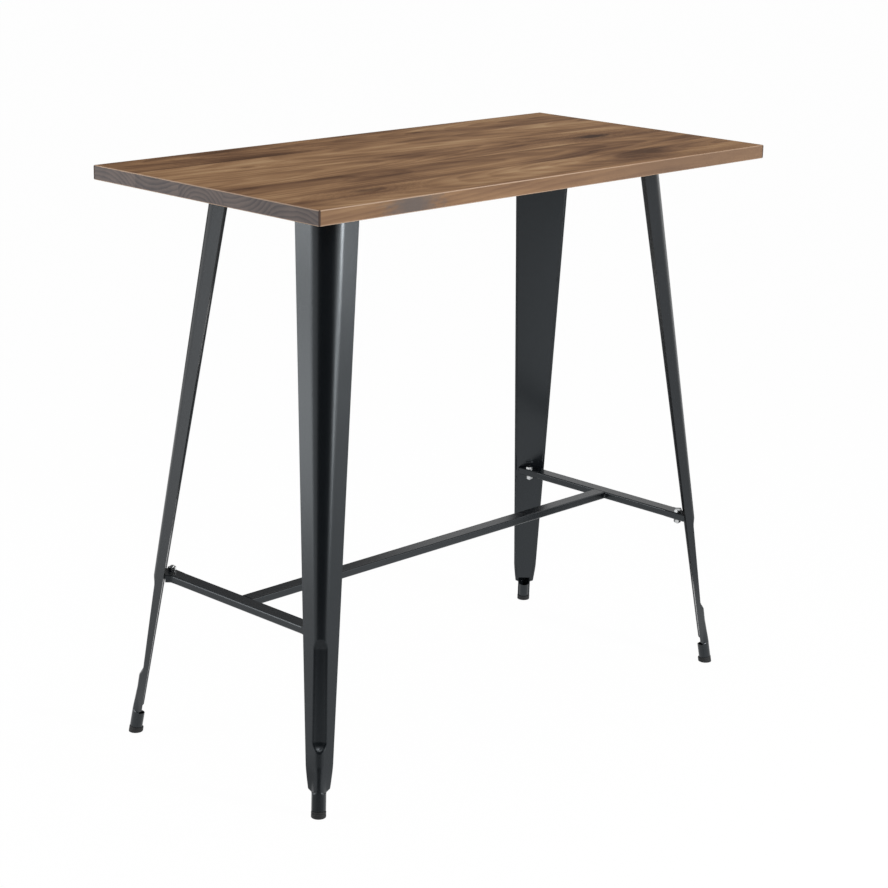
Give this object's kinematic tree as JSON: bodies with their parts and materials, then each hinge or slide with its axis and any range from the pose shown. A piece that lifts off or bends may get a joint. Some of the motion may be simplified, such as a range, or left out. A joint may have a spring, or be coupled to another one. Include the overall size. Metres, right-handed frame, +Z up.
{
  "type": "high table",
  "caption": "Bar-height table with a thick rectangular glued wooden top on splayed tapered black sheet-steel legs, tied low down by an H-shaped stretcher of rectangular tube.",
  "frame": {"origin": "on the floor, under the middle of the top", "axes": "+X along the length of the top, +Y across it, +Z up"},
  "size_m": [1.2, 0.6, 1.1],
  "materials": {
    "wood": "stained and sealed, satin",
    "black_steel": "satin black powder coat",
    "rubber": "matt",
    "zinc": "bright zinc plate"
  },
  "bodies": {
    "root": {"top_board_1": "wood", "top_board_2": "wood", "top_board_3": "wood", "top_board_4": "wood", "top_board_5": "wood", "back_right_leg_shell": "black_steel", "back_right_leg_inner_plate": "black_steel", "back_left_leg_shell": "black_steel", "back_left_leg_inner_plate": "black_steel", "front_right_leg_shell": "black_steel", "front_right_leg_inner_plate": "black_steel", "front_left_leg_shell": "black_steel", "front_left_leg_inner_plate": "black_steel", "right_end_rail": "black_steel", "left_end_rail": "black_steel", "centre_rail": "black_steel", "rail_ends": "black_steel", "stretcher_brackets": "black_steel", "foot_tubes": "black_steel", "mounting_plates": "black_steel", "tack_welds": "black_steel", "right_joint_welds": "black_steel", "left_joint_welds": "black_steel", "rubber_feet": "rubber", "stretcher_bolts": "zinc", "stretcher_nuts": "zinc"}
  },
  "joints": []
}
